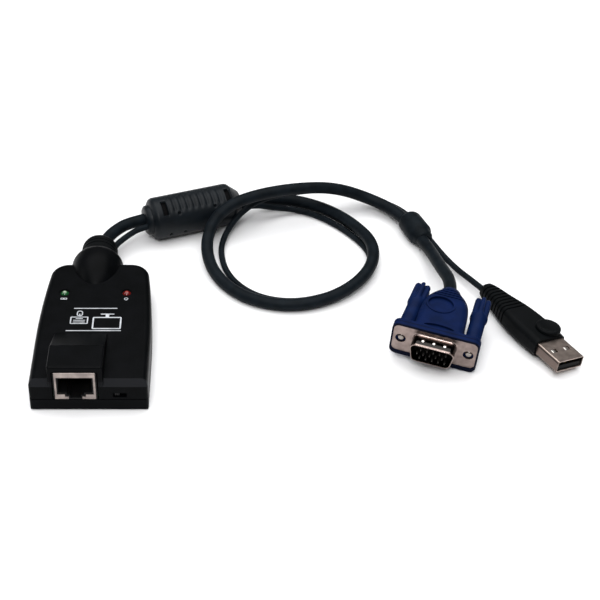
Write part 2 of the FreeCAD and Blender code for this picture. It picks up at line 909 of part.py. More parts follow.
def choke_profile():
    """Outline of the choke's moulding as (radius, place) corners."""
    n = choke_neck_length
    full = choke_length
    r = choke_radius
    e = choke_edge_radius
    tip = full + choke_tip_length
    return [
        (0, -n),
        (choke_neck_radius - 0.8, -n),
        (choke_neck_radius, -n + 0.8),
        (choke_neck_radius + 0.3, 0),
        (r - e, 0),
        (r - 0.3 * e, 0.3 * e),
        (r, e),
        (r, full - e),
        (r - 0.3 * e, full - 0.3 * e),
        (choke_tip_radius, tip),
        (0, tip),
    ]


def choke_groove(y):
    """Shallow rounded groove over the top of the choke at one place."""
    ring_radius = choke_radius - choke_groove_depth + choke_groove_round
    ring = Part.makeTorus(ring_radius, choke_groove_round, Vector(0, y, 0), Y_AXIS)
    reach = choke_radius + choke_groove_round
    half = choke_groove_round + 0.5
    return ring.common(sector(choke_groove_low, choke_groove_high, reach, y - half, y + half))


def choke_slot(y):
    """Deeper slot over the top of the choke at one place."""
    half = choke_slot_width / 2
    reach = choke_radius + 2
    wedge = sector(choke_slot_low, choke_slot_high, reach, y - half, y + half)
    keep = rod(choke_radius - choke_slot_depth, choke_slot_width + 2, Vector(0, y - half - 1, 0), Y_AXIS)
    return wedge.cut(keep)


def make_choke(tubes):
    """Ferrite core and the ribbed plastic moulded round it."""
    body = revolved(choke_profile())
    slots = (choke_slot_inset, choke_length - choke_slot_end_inset)
    first = slots[0] + choke_slot_width / 2
    pitch = (slots[1] - slots[0] - choke_slot_width) / choke_grooves
    for index in range(choke_grooves):
        body = body.cut(choke_groove(first + (index + 0.5) * pitch))
    for y in slots:
        body = body.cut(choke_slot(y))
    angle = math.radians(dimple_angle)
    away = Vector(math.cos(angle), 0, math.sin(angle))
    for share in (1.5, choke_grooves - 2.0):
        start = away * (choke_radius - dimple_depth) + Vector(0, first + share * pitch, 0)
        body = body.cut(rod(dimple_radius, dimple_depth + 2, start, away))
    gap = (choke_length - core_length) / 2
    core_room = rod(core_radius, core_length, Vector(0, gap, 0), Y_AXIS)
    bore = rod(core_bore_radius, core_length, Vector(0, gap, 0), Y_AXIS)
    body = choke_frame(body.cut(core_room))
    for tube in tubes:
        body = body.cut(tube)
    return choke_frame(core_room.cut(bore)), body


def make_joiner(tubes):
    """Moulded joiner that bonds the two cables before they part."""
    r = joiner_radius
    c = joiner_round
    end = joiner_length
    collar = end + joiner_collar_length
    profile = [
        (0, 0),
        (r - c, 0),
        (r - 0.3 * c, 0.35 * c),
        (r, c),
        (r, end - 0.5),
        (r - 0.5, end),
        (joiner_collar_radius - joiner_groove, end),
        (joiner_collar_radius - joiner_groove, end + 0.6),
        (joiner_collar_radius, end + 0.9),
        (joiner_collar_radius, collar - 0.7),
        (joiner_collar_radius - 0.7, collar),
        (0, collar),
    ]
    body = placed(revolved(profile), joiner_start, joiner_heading - 90, 0, 0)
    for tube in tubes:
        body = body.cut(tube)
    return body


# ---- video plug -------------------------------------------------------------
def video_frame(shape):
    """From the video plug's own frame to its place."""
    return placed(shape, video_plug_place, video_plug_yaw, video_plug_pitch, video_plug_roll)


def dshell_outline(grow, y):
    """Face of the D-shaped shell, wide side up, made larger by grow."""
    half_height = dshell_height / 2 + grow
    lean = math.tan(math.radians(dshell_slant))
    top = dshell_width / 2 + grow
    bottom = top - 2 * half_height * lean
    corners = [
        Vector(-bottom, y, -half_height),
        Vector(bottom, y, -half_height),
        Vector(top, y, half_height),
        Vector(-top, y, half_height),
    ]
    return Part.Face(Part.makePolygon(corners + [corners[0]]))


def dshell_bar(grow, y0, y1):
    """Bar along Y with the D-shaped section and round corners."""
    bar = dshell_outline(grow, y0).extrude(Vector(0, y1 - y0, 0))
    uprights = edges_where(bar, lambda b: b.YLength > y1 - y0 - sharp)
    return bar.makeFillet(dshell_corner + grow, uprights)


def make_video_shell():
    """Plated steel front: flange plate with the D-shaped shell drawn out of it."""
    plate = rounded_bar(plate_width / 2, plate_height / 2, plate_corner, 0, plate_thickness)
    drawn = dshell_bar(0, -dshell_length, plate_thickness)
    body = joined([plate, drawn])
    face = edges_where(body, lambda b: abs(b.YMin) < sharp and abs(b.YMax) < sharp)
    level = [edge for edge in face if abs(edge.BoundBox.ZMax) < plate_height / 2 - sharp]
    reach = dshell_width / 2 + sharp
    root = [edge for edge in level if edge.BoundBox.XMax < reach and edge.BoundBox.XMin > -reach]
    body = body.makeFillet(dshell_root_radius, root)
    lip = edges_where(body, lambda b: b.YMax < -dshell_length + sharp)
    body = body.makeFillet(dshell_lip_radius, lip)
    body = body.cut(dshell_bar(-dshell_sheet, -dshell_length - 1, plate_thickness + 1))
    for side in (-1, 1):
        start = Vector(side * half_spacing, -1, 0)
        body = body.cut(rod(plate_hole_radius, plate_thickness + 2, start, Y_AXIS))
    bumps = []
    for row in (-1, 1):
        for column in (-1, 0, 1):
            level = row * (dshell_height / 2 + dimple_bump_height - dimple_bump_radius)
            centre = Vector(column * dimple_bump_spacing, -dshell_length / 2, level)
            ball = Part.makeSphere(dimple_bump_radius, centre)
            edge = row * (dshell_height / 2 - dshell_sheet / 2)
            low, high = sorted((edge, row * dshell_height))
            bumps.append(ball.common(block(-20, 20, -20, 5, low, high)))
    return joined([body] + bumps)


def pin_places():
    """Pins in rows, each row half a pitch aside of the next."""
    places = []
    for row in (-1, 0, 1):
        aside = pin_column_pitch / 4 if row else -pin_column_pitch / 4
        for column in range(pin_columns):
            x = (column - (pin_columns - 1) / 2) * pin_column_pitch + aside
            places.append((x, row * pin_row_pitch))
    return places


def make_video_insulator():
    """Black insulator behind the pins, filling the shell's root."""
    front_part = dshell_bar(-dshell_sheet, -0.6, plate_thickness)
    back_part = dshell_bar(-dshell_sheet - 0.3, plate_thickness, insulator_depth)
    body = joined([front_part, back_part])
    for x, z in pin_places():
        body = body.cut(rod(pin_radius, insulator_depth + 4, Vector(x, -2, z), Y_AXIS))
    return body


def make_video_pins():
    """Fifteen pins with tapered tips."""
    pins = []
    tip = 0.7
    for x, z in pin_places():
        start = Vector(x, -0.6 - pin_length + tip, z)
        length = pin_length - tip + 0.6 + insulator_depth + pin_tail
        stem = rod(pin_radius, length, start, Y_AXIS)
        point = Part.makeCone(pin_radius, pin_radius * 0.45, tip, start, Vector(0, -1, 0))
        pins.append(joined([stem, point]))
    return Part.makeCompound(pins)


def hood_stations():
    """Half width, half height and corner radius of the hood along its length."""
    w = hood_half_width
    h = hood_half_height
    n = hood_neck_radius
    length = hood_body_length
    return [
        (flange_length - 0.6, w + 0.3, h, 2.2),
        (0.35 * length, w, h, 2.6),
        (0.55 * length, w - 0.2, h, 3.0),
        (0.70 * length, w - 0.9, h - 0.3, 3.3),
        (0.82 * length, w - 2.2, h - 0.9, 3.6),
        (0.92 * length, w - 4.2, n + 0.8, 3.6),
        (length, n, n, n - 0.1),
    ]


def hood_loft(thinner):
    """Smooth hood body through its stations."""
    wires = []
    for y, w, h, corner in hood_stations():
        c = max(corner - thinner, 0.8)
        wires.append(rounded_outline(w - thinner, h - thinner, min(c, h - thinner - 0.05), y))
    return Part.makeLoft(wires, True, False)


def leaned(shape, side):
    """Shape on a thumbscrew's axis, tipped the way the left one rests in its hole."""
    if side > 0:
        return shape
    result = shape.copy()
    result.rotate(Vector(side * half_spacing, 0, 0), Z_AXIS, -left_screw_lean)
    return result


def finger_pad_rim(way):
    """Raised oval lip of the finger pad, over the hood or under it."""
    z0, z1 = sorted((way * (hood_half_height - 1), way * (hood_half_height + pad_rim_height)))
    return oval_post(
        pad_width + 2 * pad_rim, pad_length + 2 * pad_rim, -pad_aside, pad_from_plate, z0, z1
    )


def finger_pad_dish(way):
    """Oval hollow of the finger pad."""
    z0, z1 = sorted((way * (hood_half_height - pad_depth), way * (hood_half_height + 3)))
    return oval_post(pad_width, pad_length, -pad_aside, pad_from_plate, z0, z1)


def make_video_hood(tube):
    """Blue moulded hood: flange rim round the plate, domed body, finger pad."""
    rim_w = plate_width / 2 + flange_side
    rim_h = (plate_height + flange_rim + flange_foot) / 2
    flange = rounded_bar(rim_w, rim_h, flange_corner, -flange_proud, flange_length)
    flange.translate(Vector(0, 0, (flange_rim - flange_foot) / 2))
    back_edges = edges_where(flange, lambda b: b.YMin > flange_length - sharp)
    flange = flange.makeFillet(0.8, back_edges)
    body = joined([flange, hood_loft(0)])
    for index in range(hood_grooves):
        y = hood_body_length * 0.74 + index * hood_groove_pitch
        slab = block(-20, 20, y, y + hood_groove_width, -20, 20)
        body = body.cut(slab.cut(hood_loft(hood_groove_depth)))
    for way in (1, -1):
        body = body.fuse(finger_pad_rim(way)).cut(finger_pad_dish(way))
    step = oval_post(
        step_width, step_length, 0, flange_length + step_depth / 2, hood_half_height - step_depth,
        hood_half_height + 4
    )
    body = body.cut(step)
    body = body.cut(rounded_bar(plate_width / 2, plate_height / 2, plate_corner, -1, plate_thickness))
    body = body.cut(dshell_bar(-dshell_sheet - 0.3, 0, insulator_depth))
    body = body.cut(block(-6.5, 6.5, insulator_depth - 0.5, insulator_depth + pin_tail + 1, -3.2, 3.2))
    for side in (-1, 1):
        x = side * half_spacing
        hole = rod(jackscrew_radius + jackscrew_fit, flange_length + 4, Vector(x, -2, 0), Y_AXIS)
        scallop = rod(knob_radius + scallop_gap, 40, Vector(x, flange_length, 0), Y_AXIS)
        body = body.cut(leaned(hole, side)).cut(leaned(scallop, side))
    body = video_frame(body)
    return body.cut(tube)


def make_jackscrew(side):
    """Steel jackscrew and the fluted grip moulded on it."""
    x = side * half_spacing
    grip_start = flange_length + grip_gap
    grip_end = grip_start + grip_length
    knob_start = grip_end - knob_length
    shank = rod(jackscrew_radius, grip_end - jackscrew_cover - 0.1, Vector(x, 0.1, 0), Y_AXIS)
    tip = edges_where(shank, lambda b: b.YMax < 0.1 + sharp)
    screw = shank.makeFillet(jackscrew_tip_radius, tip)
    profile = [
        (0, grip_start),
        (grip_radius, grip_start),
        (grip_radius, knob_start),
        (knob_radius, knob_start + 0.6),
        (knob_radius, grip_end - 0.8),
        (knob_radius - 0.8, grip_end),
        (0, grip_end),
    ]
    grip = revolved(profile, Vector(x, 0, 0))
    for index in range(knob_flutes):
        angle = 2 * math.pi * index / knob_flutes
        middle = knob_radius - flute_depth + flute_radius
        away = Vector(math.cos(angle), 0, math.sin(angle)) * middle
        start = Vector(x, knob_start + 1.6, 0) + away
        grip = grip.cut(rod(flute_radius, knob_length, start, Y_AXIS))
    return leaned(screw, side), leaned(grip.cut(screw), side)


# ---- USB plug ---------------------------------------------------------------
def usb_frame(shape):
    """From the USB plug's own frame to its place."""
    return placed(shape, usb_plug_place, usb_plug_yaw, 0, usb_plug_roll)


def usb_shell_room(end):
    """Space inside the USB shell from its tip to a given depth."""
    w = usb_shell_width / 2 - usb_shell_sheet
    h = usb_shell_height / 2 - usb_shell_sheet
    return rounded_bar(w, h, 0.2, -1, end)


def make_usb_shell():
    """Folded steel shell with its four latch windows."""
    w = usb_shell_width / 2
    h = usb_shell_height / 2
    end = usb_shell_exposed + usb_shell_buried
    body = rounded_bar(w, h, 0.5, 0, end)
    body = body.cut(usb_shell_room(end + 1))
    for side in (-1, 1):
        x = side * usb_window_spacing / 2
        half = usb_window_width / 2
        y0 = usb_window_from_tip
        body = body.cut(block(x - half, x + half, y0, y0 + usb_window_length, -h - 1, h + 1))
    return body


def make_usb_tongue():
    """Insulating tongue in the lower half of the shell, and its contacts."""
    w = usb_shell_width / 2 - usb_shell_sheet
    low = -usb_shell_height / 2 + usb_shell_sheet
    end = usb_shell_exposed + usb_shell_buried
    tongue = block(-w + 0.2, w - 0.2, tongue_recess, end, low, low + tongue_thickness)
    stop = block(-w, w, end - 3.0, end, low, usb_shell_height / 2 - usb_shell_sheet)
    body = joined([tongue, stop]).common(usb_shell_room(end))
    contacts = []
    top = low + tongue_thickness
    for x in (-usb_contact_outer, -usb_contact_inner, usb_contact_inner, usb_contact_outer):
        half = usb_contact_width / 2
        contacts.append(
            block(x - half, x + half, tongue_recess + 0.8, end - 3.0, top, top + usb_contact_thickness)
        )
    return body, Part.makeCompound(contacts)


def usb_body_loft(thinner):
    """Tapered body of the USB plug's overmould."""
    start = usb_shell_exposed
    spans = [
        (0.0, usb_body_width, usb_front_height),
        (0.2, usb_body_width, usb_body_height),
        (0.4, usb_body_width - 0.5, usb_body_height),
        (0.6, usb_body_width - 2.5, usb_body_height - 0.3),
        (0.8, usb_body_width - 5.2, usb_body_height - 1.0),
        (0.95, usb_tail_width + 1.0, usb_tail_height + 0.6),
        (1.0, usb_tail_width, usb_tail_height),
    ]
    wires = []
    for share, width, height in spans:
        y = start + share * usb_body_length
        corner = max(usb_body_corner - thinner, 0.6)
        wires.append(rounded_outline(width / 2 - thinner, height / 2 - thinner, corner, y))
    return Part.makeLoft(wires, True, False)


def usb_pad():
    """Round raised thumb rest with a shallow dish in its top."""
    level = usb_shell_height / 2 + 0.3
    top = usb_body_height / 2 + usb_pad_height
    place = Vector(usb_pad_aside, usb_shell_exposed + usb_pad_back, level)
    pad = rod(usb_pad_radius, top - level, place, Z_AXIS)
    rim = edges_where(pad, lambda b: b.ZMin > top - sharp)
    pad = pad.makeFillet(usb_pad_height * 0.5, rim)
    half = usb_pad_radius - usb_pad_rim
    ball_radius = (half ** 2 + usb_pad_dish ** 2) / (2 * usb_pad_dish)
    middle = Vector(place.x, place.y, top - usb_pad_dish + ball_radius)
    return pad.cut(Part.makeSphere(ball_radius, middle))


def make_usb_body(tube):
    """Black overmould of the USB plug: ribbed tail, smooth front, round pad."""
    end = usb_shell_exposed + usb_body_length
    body = usb_body_loft(0)
    first = end - 3.0 - (usb_grooves - 1) * usb_groove_pitch
    for index in range(usb_grooves):
        y = first + index * usb_groove_pitch
        slab = block(-20, 20, y, y + usb_groove_width, -20, 20)
        body = body.cut(slab.cut(usb_body_loft(usb_groove_depth)))
    body = joined([body, usb_pad()])
    room = rounded_bar(
        usb_shell_width / 2, usb_shell_height / 2, 0.5, usb_shell_exposed - 1,
        usb_shell_exposed + usb_shell_buried
    )
    body = usb_frame(body.cut(room))
    return body.cut(tube)


# ---- build ------------------------------------------------------------------
def main():
    """Build every piece and write it to parts/."""
    os.makedirs("parts", exist_ok=True)
    video_cable = cable(video_route, video_cable_radius, "video_cable")
    usb_cable = cable(usb_route, usb_cable_radius, "usb_cable")
    both = [video_cable, usb_cable]
    upper, lower = make_case()
    shield, socket_body, wires = make_socket()
    housing, knob = make_switch()
    core, choke = make_choke(both)
    export("upper_cover", upper)
    export("lower_cover", lower)
    export("circuit_board", make_board())
    export("socket_shield", shield)
    export("socket_body", socket_body)
    export("socket_contacts", wires)
    export("link_lamp", make_lamp(-1))
    export("power_lamp", make_lamp(1))
    export("switch_housing", housing)
    export("switch_knob", knob)
    export("case_screws", make_screws())
    export("strain_relief", make_relief(both))
    export("video_cable", video_cable)
    export("usb_cable", usb_cable)
    export("ferrite_core", core)
    export("choke_cover", choke)
    export("cable_joiner", make_joiner(both))
    export("video_shell", video_frame(make_video_shell()))
    export("video_insulator", video_frame(make_video_insulator()))
    export("video_pins", video_frame(make_video_pins()))
    export("video_hood", make_video_hood(video_cable))
    for side, word in ((-1, "left"), (1, "right")):
        screw, grip = make_jackscrew(side)
        export("jackscrew_" + word, video_frame(screw))
        export("screw_grip_" + word, video_frame(grip))
    tongue, usb_contacts = make_usb_tongue()
    export("usb_shell", usb_frame(make_usb_shell()))
    export("usb_tongue", usb_frame(tongue))
    export("usb_contacts", usb_frame(usb_contacts))
    export("usb_plug_body", make_usb_body(usb_cable))


main()
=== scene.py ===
"""Looks of an interface dongle: a module, two bonded cables, a video plug and a USB plug."""

import bmesh
import bpy
import math
from mathutils import Matrix, Vector


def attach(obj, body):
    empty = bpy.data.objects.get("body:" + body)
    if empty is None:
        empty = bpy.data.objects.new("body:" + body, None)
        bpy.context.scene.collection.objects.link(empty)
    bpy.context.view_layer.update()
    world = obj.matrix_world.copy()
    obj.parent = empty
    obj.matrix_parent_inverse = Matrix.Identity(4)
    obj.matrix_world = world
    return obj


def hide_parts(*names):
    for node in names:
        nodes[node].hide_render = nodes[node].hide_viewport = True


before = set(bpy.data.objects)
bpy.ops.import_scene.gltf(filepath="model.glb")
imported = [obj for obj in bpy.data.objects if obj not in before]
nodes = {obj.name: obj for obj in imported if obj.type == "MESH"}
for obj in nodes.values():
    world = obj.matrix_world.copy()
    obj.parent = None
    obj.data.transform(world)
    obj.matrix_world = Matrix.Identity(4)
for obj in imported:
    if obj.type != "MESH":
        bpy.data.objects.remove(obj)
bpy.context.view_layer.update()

MM = 0.001


# ---- node and colour helpers ------------------------------------------------
def linear(hex_colour):
    """Linear RGBA of an sRGB hex colour."""
    channels = []
    for start in (1, 3, 5):
        value = int(hex_colour[start:start + 2], 16) / 255
        if value <= 0.04045:
            channels.append(value / 12.92)
        else:
            channels.append(((value + 0.055) / 1.055) ** 2.4)
    return (*channels, 1.0)


def add(tree, kind, settings=None, inputs=None, **links):
    """One shader node: attribute settings, socket values, and links into sockets by name."""
    node = tree.nodes.new(kind)
    for name, value in (settings or {}).items():
        setattr(node, name, value)
    for name, value in (inputs or {}).items():
        node.inputs[name].default_value = value
    for name, source in links.items():
        key = int(name[1:]) if name[0] == "i" and name[1:].isdigit() else name.replace("_", " ")
        tree.links.new(source, node.inputs[key])
    return node


def start_material(name):
    """Empty node tree with a Principled surface, and its Object coordinates."""
    material = bpy.data.materials.new(name)
    material.use_nodes = True
    tree = material.node_tree
    tree.nodes.clear()
    surface = add(tree, "ShaderNodeBsdfPrincipled")
    add(tree, "ShaderNodeOutputMaterial", Surface=surface.outputs["BSDF"])
    place = add(tree, "ShaderNodeTexCoord").outputs["Object"]
    return material, tree, surface, place


def tinted(tree, surface, factor, dark, light):
    """Base colour that wanders between two shades."""
    ramp = add(tree, "ShaderNodeValToRGB", Fac=factor)
    stops = ramp.color_ramp.elements
    for stop, position, shade in zip(stops, (0.35, 0.65), (dark, light)):
        stop.position = position
        stop.color = linear(shade)
    tree.links.new(ramp.outputs["Color"], surface.inputs["Base Color"])


def roughened(tree, surface, factor, low, high):
    """Roughness that wanders between two values."""
    spread = add(tree, "ShaderNodeMapRange", Value=factor)
    spread.inputs["To Min"].default_value = low
    spread.inputs["To Max"].default_value = high
    tree.links.new(spread.outputs["Result"], surface.inputs["Roughness"])


def bumped(tree, surface, height, depth_mm):
    """Bump of a real depth in millimetres."""
    depth = {"Strength": 1.0, "Distance": depth_mm * MM}
    bump = add(tree, "ShaderNodeBump", None, depth, Height=height)
    tree.links.new(bump.outputs["Normal"], surface.inputs["Normal"])


def noise(tree, place, size_mm, detail=2.0, roughness=0.5):
    """Noise whose features are about size_mm across."""
    node = add(tree, "ShaderNodeTexNoise", Vector=place)
    node.inputs["Scale"].default_value = 1.0 / (size_mm * MM)
    node.inputs["Detail"].default_value = detail
    node.inputs["Roughness"].default_value = roughness
    return node.outputs["Fac"]


# ---- sizes of the frame, in millimetres -------------------------------------
case_top = 13.0
screw_spacing = 25.0
choke_radius = 8.6
tin_half_width = 7.25
tin_bottom = 5.1
tin_top = 17.1
tin_depth = 13.6
tin_sheet = 0.3
jack_opening_top = 15.0
jack_floor = 7.4
jack_half_opening = 6.45
latch_step_height = 6.4
latch_half_width = 3.7
latch_half_narrow = 2.4
ink_thickness = 0.035
ink_sunk = 0.01


# ---- frames of the pieces on the cables -------------------------------------
def local_frame(place, yaw, pitch=0.0, roll=0.0):
    """Frame at a place in millimetres, turned by roll, pitch and yaw in degrees."""
    turn = Matrix.Rotation(math.radians(yaw), 4, "Z")
    turn = turn @ Matrix.Rotation(math.radians(pitch), 4, "X")
    turn = turn @ Matrix.Rotation(math.radians(roll), 4, "Y")
    return Matrix.Translation(Vector(place) * MM) @ turn


video_plug = local_frame((123.2, -19.25, 9.34), -18.0, 5.5, 4.5)
usb_plug = local_frame((172.1, -23.6, 4.75), 29.0, 0.0, 9.0)
choke_place = local_frame((17.7, 61.7, 8.7), 19.7 - 90.0)


# ---- finishes ---------------------------------------------------------------
def moulded_polymer(name, dark, light, rough, grain_mm, depth_mm, shine, wander_mm=7.0):
    """Moulded plastic: shade and gloss wander a little, and a fine grain roughens it."""
    material, tree, surface, place = start_material(name)
    wander = noise(tree, place, wander_mm, 3.0)
    tinted(tree, surface, wander, dark, light)
    fine = noise(tree, place, grain_mm, 2.0, 0.6)
    roughened(tree, surface, fine, rough - 0.06, rough + 0.08)
    bumped(tree, surface, fine, depth_mm)
    surface.inputs["Specular IOR Level"].default_value = shine
    return material


def plated_metal(name, dark, light, rough, brush_mm, stretch, depth_mm):
    """Plated metal: a directional brush from the sheet's rolling, and faint stains."""
    material, tree, surface, place = start_material(name)
    turn = add(tree, "ShaderNodeMapping", Vector=place)
    turn.inputs["Scale"].default_value = stretch
    brush = noise(tree, turn.outputs["Vector"], brush_mm, 3.0, 0.6)
    stain = noise(tree, place, 2.5, 3.0)
    tinted(tree, surface, stain, dark, light)
    roughened(tree, surface, brush, rough - 0.06, rough + 0.1)
    bumped(tree, surface, brush, depth_mm)
    surface.inputs["Metallic"].default_value = 1.0
    return material


def opened(material):
    """Node tree of a material made above, its surface and its Object coordinates."""
    tree = material.node_tree
    return tree, tree.nodes["Principled BSDF"], tree.nodes["Texture Coordinate"].outputs["Object"]


def both(tree, first, second):
    """Product of two factors."""
    product = add(tree, "ShaderNodeMath", {"operation": "MULTIPLY"}, i0=first, i1=second)
    return product.outputs["Value"]


def size_of(tree, value):
    """Distance of a value from zero."""
    return add(tree, "ShaderNodeMath", {"operation": "ABSOLUTE"}, i0=value).outputs["Value"]


def local_axes(tree, place, where):
    """X, Y and Z of a point in a piece's own frame, in metres."""
    own = add(tree, "ShaderNodeMapping", {"vector_type": "TEXTURE"}, Vector=place)
    own.inputs["Location"].default_value = where.to_translation()
    own.inputs["Rotation"].default_value = where.to_euler("XYZ")
    return add(tree, "ShaderNodeSeparateXYZ", Vector=own.outputs["Vector"]).outputs


def band(tree, value, low_mm, high_mm):
    """Zero below the low place, one above the high one."""
    limits = {"From Min": low_mm * MM, "From Max": high_mm * MM}
    return add(tree, "ShaderNodeMapRange", None, limits, Value=value).outputs["Result"]


def between(tree, value, low_mm, high_mm, soft_mm):
    """One between two places, zero outside them."""
    above = band(tree, value, low_mm - soft_mm, low_mm)
    below = band(tree, value, high_mm + soft_mm, high_mm)
    return both(tree, above, below)


def recolour(tree, surface, factor, hex_colour):
    """Another colour wherever the factor is one."""
    before = surface.inputs["Base Color"].links[0].from_socket
    mix = add(tree, "ShaderNodeMix", {"data_type": "RGBA"}, None, i0=factor, i6=before)
    mix.inputs[7].default_value = linear(hex_colour)
    tree.links.new(mix.outputs[2], surface.inputs["Base Color"])


def regloss(tree, surface, factor, rough):
    """Another roughness wherever the factor is one."""
    before = surface.inputs["Roughness"].links[0].from_socket
    mix = add(tree, "ShaderNodeMix", {"data_type": "FLOAT"}, None, i0=factor, i2=before)
    mix.inputs[3].default_value = rough
    tree.links.new(mix.outputs[0], surface.inputs["Roughness"])


def tinted_lens(name, place_mm, painted_glow, dark, light):
    """Tinted epoxy lens of a lamp: a painted glow, pale over its chip, deep tint towards its rim,
    and glossy.
    """
    material, tree, surface, place = start_material(name)
    tinted(tree, surface, noise(tree, place, 0.8, 2.0), dark, light)
    chip = add(tree, "ShaderNodeMapping", {"vector_type": "TEXTURE"}, Vector=place)
    chip.inputs["Location"].default_value = Vector(place_mm) * MM
    far = add(tree, "ShaderNodeVectorMath", {"operation": "LENGTH"}, Vector=chip.outputs["Vector"])
    # painted glow: pale colour over the chip, fading out within 1 mm of it
    recolour(tree, surface, band(tree, far.outputs["Value"], 1.0, 0.2), painted_glow)
    roughened(tree, surface, noise(tree, place, 0.4), 0.08, 0.2)
    surface.inputs["IOR"].default_value = 1.54
    surface.inputs["Transmission Weight"].default_value = 0.35
    return material


# Soft PVC over the cables: dark slate with a satin sheen.
cable_pvc = moulded_polymer("cable_pvc", "#0b1014", "#11171c", 0.5, 0.5, 0.015, 0.06, 4.0)
# Overmoulded PVC: blacker and a little glossier than the case.
boot_pvc = moulded_polymer("boot_pvc", "#050708", "#080a0c", 0.56, 0.4, 0.012, 0.06)
# Blue ABS of the thumbscrew grips: a shade brighter than the hood.
grip_abs = moulded_polymer("grip_abs", "#081637", "#0b1c42", 0.45, 0.35, 0.012, 0.05, 5.0)
# Glass-filled nylon inside the sockets and the plugs: dead black.
socket_nylon = moulded_polymer("socket_nylon", "#050506", "#0a0a0b", 0.55, 0.3, 0.01, 0.15, 3.0)
# Acetal of the slide switch's knob.
knob_acetal = moulded_polymer("knob_acetal", "#0c0c0e", "#131315", 0.35, 0.2, 0.006, 0.25, 2.0)
# Glass-epoxy circuit board under green solder mask.
board_epoxy = moulded_polymer("board_epoxy", "#0d3a20", "#14512c", 0.3, 0.6, 0.01, 0.5, 3.0)
# Fired ferrite: dark grey ceramic.
ferrite_ceramic = moulded_polymer("ferrite_ceramic", "#1f1f20", "#2c2c2d", 0.6, 0.2, 0.02, 0.5, 3.0)
# Nickel plated steel sheet: warm grey, rolled, dulled by handling.
socket_nickel = plated_metal("socket_nickel", "#857b78", "#a0958f", 0.36, 0.5, (1, 1, 6), 0.004)
# Machined steel screws under nickel.
screw_nickel = plated_metal("screw_nickel", "#a9a5a0", "#cfcac4", 0.25, 0.3, (1, 1, 1), 0.004)
# The plug's screws: turned steel under bright nickel, like dark mirrors.
turned_nickel = plated_metal("turned_nickel", "#7c7671", "#968f89", 0.12, 0.3, (1, 1, 1), 0.003)
# Gold flash over the contacts.
contact_gold = plated_metal("contact_gold", "#c8983c", "#e2b860", 0.22, 0.3, (1, 1, 1), 0.002)
# Thin tinned pins in a deep shell: coloured a dark dull grey as painted shade.
pin_steel = plated_metal("pin_steel", "#4a4846", "#5e5b58", 0.35, 0.3, (1, 1, 1), 0.002)
# White screen ink: opaque, a little uneven over the case's grain.
print_ink = moulded_polymer("print_ink", "#a4a8ad", "#c2c5ca", 0.55, 0.3, 0.01, 0.2, 2.0)
# The third colour of each lens is its painted glow over the chip.
green_epoxy = tinted_lens("green_epoxy", (-12.3, 8.3, 13.4), "#c8dcc2", "#14502a", "#236b38")
red_epoxy = tinted_lens("red_epoxy", (10.9, 8.3, 13.4), "#a8342c", "#5c0d0a", "#861612")


def drawn_shell_nickel():
    """Nickel of the video plug: a satin plate, and a drawn shell that shines like a mirror, painted
    near black between its root and lip as a dark reflection, with painted highlights on its bumps.
    """
    material = plated_metal("drawn_shell_nickel", "#80726d", "#968781", 0.32, 0.5, (6, 1, 1), 0.003)
    tree, surface, place = opened(material)
    own = local_axes(tree, place, video_plug)
    regloss(tree, surface, band(tree, own["Y"], -0.1, -0.5), 0.1)
    # painted dark reflection: the shell between its root and its lip is coloured near black
    recolour(tree, surface, between(tree, own["Y"], -4.75, -1.0, 0.15), "#2a2827")
    # painted highlights: the bumps standing above the shell's faces are coloured near white, clear
    # of the plate
    bump_highlight = band(tree, size_of(tree, own["Z"]), 4.2, 4.26)
    clear = band(tree, own["Y"], -0.9, -1.0)
    recolour(tree, surface, both(tree, bump_highlight, clear), "#e6e1dc")
    return material


def folded_usb_nickel():
    """Nickel of the USB shell: bright faces, sides darkened as painted shade, and a painted dark
    reflection line along the sides.
    """
    material = plated_metal("folded_usb_nickel", "#a1938b", "#bbaca3", 0.3, 0.5, (1, 6, 1), 0.004)
    tree, surface, place = opened(material)
    own = local_axes(tree, place, usb_plug)
    # painted shade: the shell's sides are coloured darker than its faces
    shaded_flank = band(tree, size_of(tree, own["X"]), 5.7, 5.95)
    recolour(tree, surface, shaded_flank, "#6b5e58")
    # painted dark reflection: a thin near-black line along the sides, 1.35 to 1.6 mm up
    level = between(tree, own["Z"], 1.35, 1.6, 0.1)
    recolour(tree, surface, both(tree, level, shaded_flank), "#1c1918")
    return material


def lipped_hood_pvc():
    """Blue PVC of the plug's hood, with painted shade: near black on the moulded lip round the metal
    plate, and a thin dark line across the flange.
    """
    material = moulded_polymer("lipped_hood_pvc", "#071535", "#0a1a41", 0.5, 0.4, 0.012, 0.035, 5.0)
    tree, surface, place = opened(material)
    own = local_axes(tree, place, video_plug)
    # painted shade: the lip round the plate is coloured near black
    recolour(tree, surface, band(tree, own["Y"], 0.15, -0.15), "#04091c")
    # painted shadow: a thin dark line across the flange, 1.5 to 1.75 mm behind the plate
    recolour(tree, surface, between(tree, own["Y"], 1.5, 1.75, 0.12), "#050d24")
    return material


def slotted_choke_pvc():
    """PVC of the choke: a satin bloom lights the ribs, and the slots' floors are painted near black
    as shade.
    """
    material = moulded_polymer("slotted_choke_pvc", "#080d11", "#0c1217", 0.42, 0.5, 0.012, 0.15)
    tree, surface, place = opened(material)
    own = local_axes(tree, place, choke_place)
    across = add(tree, "ShaderNodeCombineXYZ", None, None, X=own["X"], Z=own["Z"]).outputs["Vector"]
    reach = add(tree, "ShaderNodeVectorMath", {"operation": "LENGTH"}, Vector=across)
    deep = band(tree, reach.outputs["Value"], 7.95, 7.6)
    along = between(tree, own["Y"], 2.5, 33.0, 0.1)
    floor = both(tree, deep, along)
    # painted shade: the slots' floors are coloured near black
    recolour(tree, surface, floor, "#010102")
    regloss(tree, surface, floor, 0.95)
    return material


